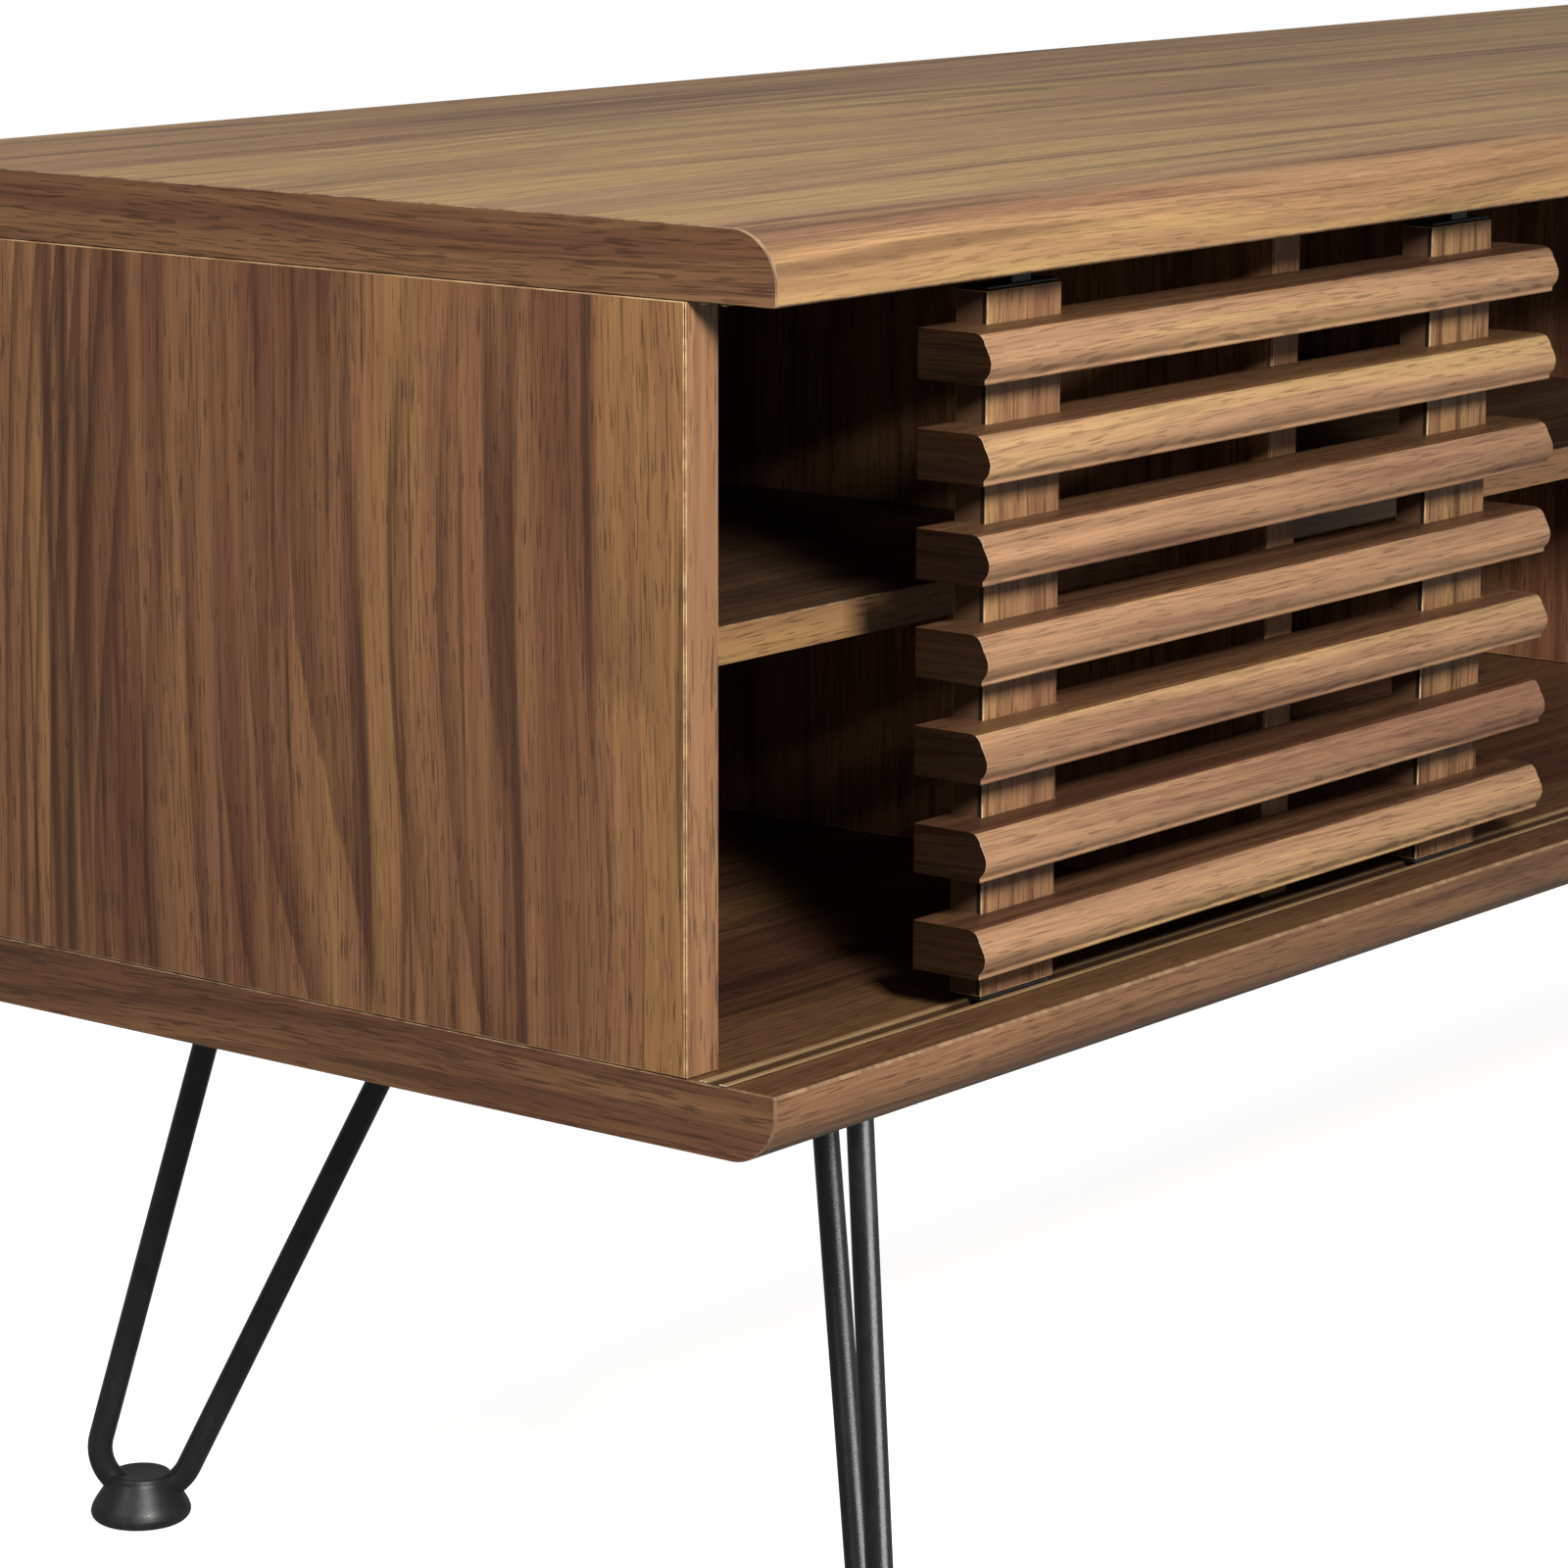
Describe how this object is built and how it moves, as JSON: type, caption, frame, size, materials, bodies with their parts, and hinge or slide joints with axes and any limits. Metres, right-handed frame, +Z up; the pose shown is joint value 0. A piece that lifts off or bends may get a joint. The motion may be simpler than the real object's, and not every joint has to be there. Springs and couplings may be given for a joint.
{
  "type": "media cabinet",
  "caption": "Low walnut-grain media cabinet on splayed black hairpin legs, with open bays, set-back shelves and slatted doors that slide in one track.",
  "frame": {"origin": "centre of the bounding box at floor level", "axes": "+Z up, the front with the doors faces -Y, +X runs along the width towards the right end seen from the front"},
  "size_m": [1.548, 0.4, 0.489],
  "materials": {
    "walnut_face": "satin walnut-grain laminate",
    "walnut_door": "satin walnut-grain laminate",
    "walnut_inner": "satin walnut-grain laminate",
    "back_board": "thin printed board",
    "track_plastic": "extruded brown plastic",
    "black_plastic": "moulded black plastic",
    "black_steel": "satin black powder coat",
    "foot_plastic": "moulded black plastic",
    "screw_steel": "black zinc"
  },
  "bodies": {
    "cabinet": {"back_panel": "back_board", "bottom_panel": "walnut_face", "divider_center": "walnut_inner", "divider_left": "walnut_inner", "divider_right": "walnut_inner", "foot_front_left": "foot_plastic", "foot_front_right": "foot_plastic", "foot_rear_left": "foot_plastic", "foot_rear_right": "foot_plastic", "leg_front_left": "black_steel", "leg_front_right": "black_steel", "leg_rear_left": "black_steel", "leg_rear_right": "black_steel", "screw_front_left_1": "screw_steel", "screw_front_left_2": "screw_steel", "screw_front_left_3": "screw_steel", "screw_front_right_1": "screw_steel", "screw_front_right_2": "screw_steel", "screw_front_right_3": "screw_steel", "screw_rear_left_1": "screw_steel", "screw_rear_left_2": "screw_steel", "screw_rear_left_3": "screw_steel", "screw_rear_right_1": "screw_steel", "screw_rear_right_2": "screw_steel", "screw_rear_right_3": "screw_steel", "shelf_center_left": "walnut_inner", "shelf_center_right": "walnut_inner", "shelf_left": "walnut_inner", "shelf_right": "walnut_inner", "side_left": "walnut_face", "side_right": "walnut_face", "top_panel": "walnut_face", "track_bottom": "track_plastic", "track_top": "track_plastic"},
    "door_left": {"door_left_glide_a": "black_plastic", "door_left_glide_b": "black_plastic", "door_left_guide_top_a": "black_plastic", "door_left_guide_top_b": "black_plastic", "door_left_slat_1": "walnut_door", "door_left_slat_2": "walnut_door", "door_left_slat_3": "walnut_door", "door_left_slat_4": "walnut_door", "door_left_slat_5": "walnut_door", "door_left_slat_6": "walnut_door", "door_left_slat_7": "walnut_door", "door_left_stile_a": "walnut_door", "door_left_stile_b": "walnut_door"},
    "door_right": {"door_right_glide_a": "black_plastic", "door_right_glide_b": "black_plastic", "door_right_guide_top_a": "black_plastic", "door_right_guide_top_b": "black_plastic", "door_right_slat_1": "walnut_door", "door_right_slat_2": "walnut_door", "door_right_slat_3": "walnut_door", "door_right_slat_4": "walnut_door", "door_right_slat_5": "walnut_door", "door_right_slat_6": "walnut_door", "door_right_slat_7": "walnut_door", "door_right_stile_a": "walnut_door", "door_right_stile_b": "walnut_door"}
  },
  "joints": [
    {"name": "door_left_slide", "type": "slide", "parent": "cabinet", "child": "door_left", "axis": [1, 0, 0], "range_m": [-0.108, 0.325]},
    {"name": "door_right_slide", "type": "slide", "parent": "cabinet", "child": "door_right", "axis": [1, 0, 0], "range_m": [-0.325, 0.108]}
  ]
}
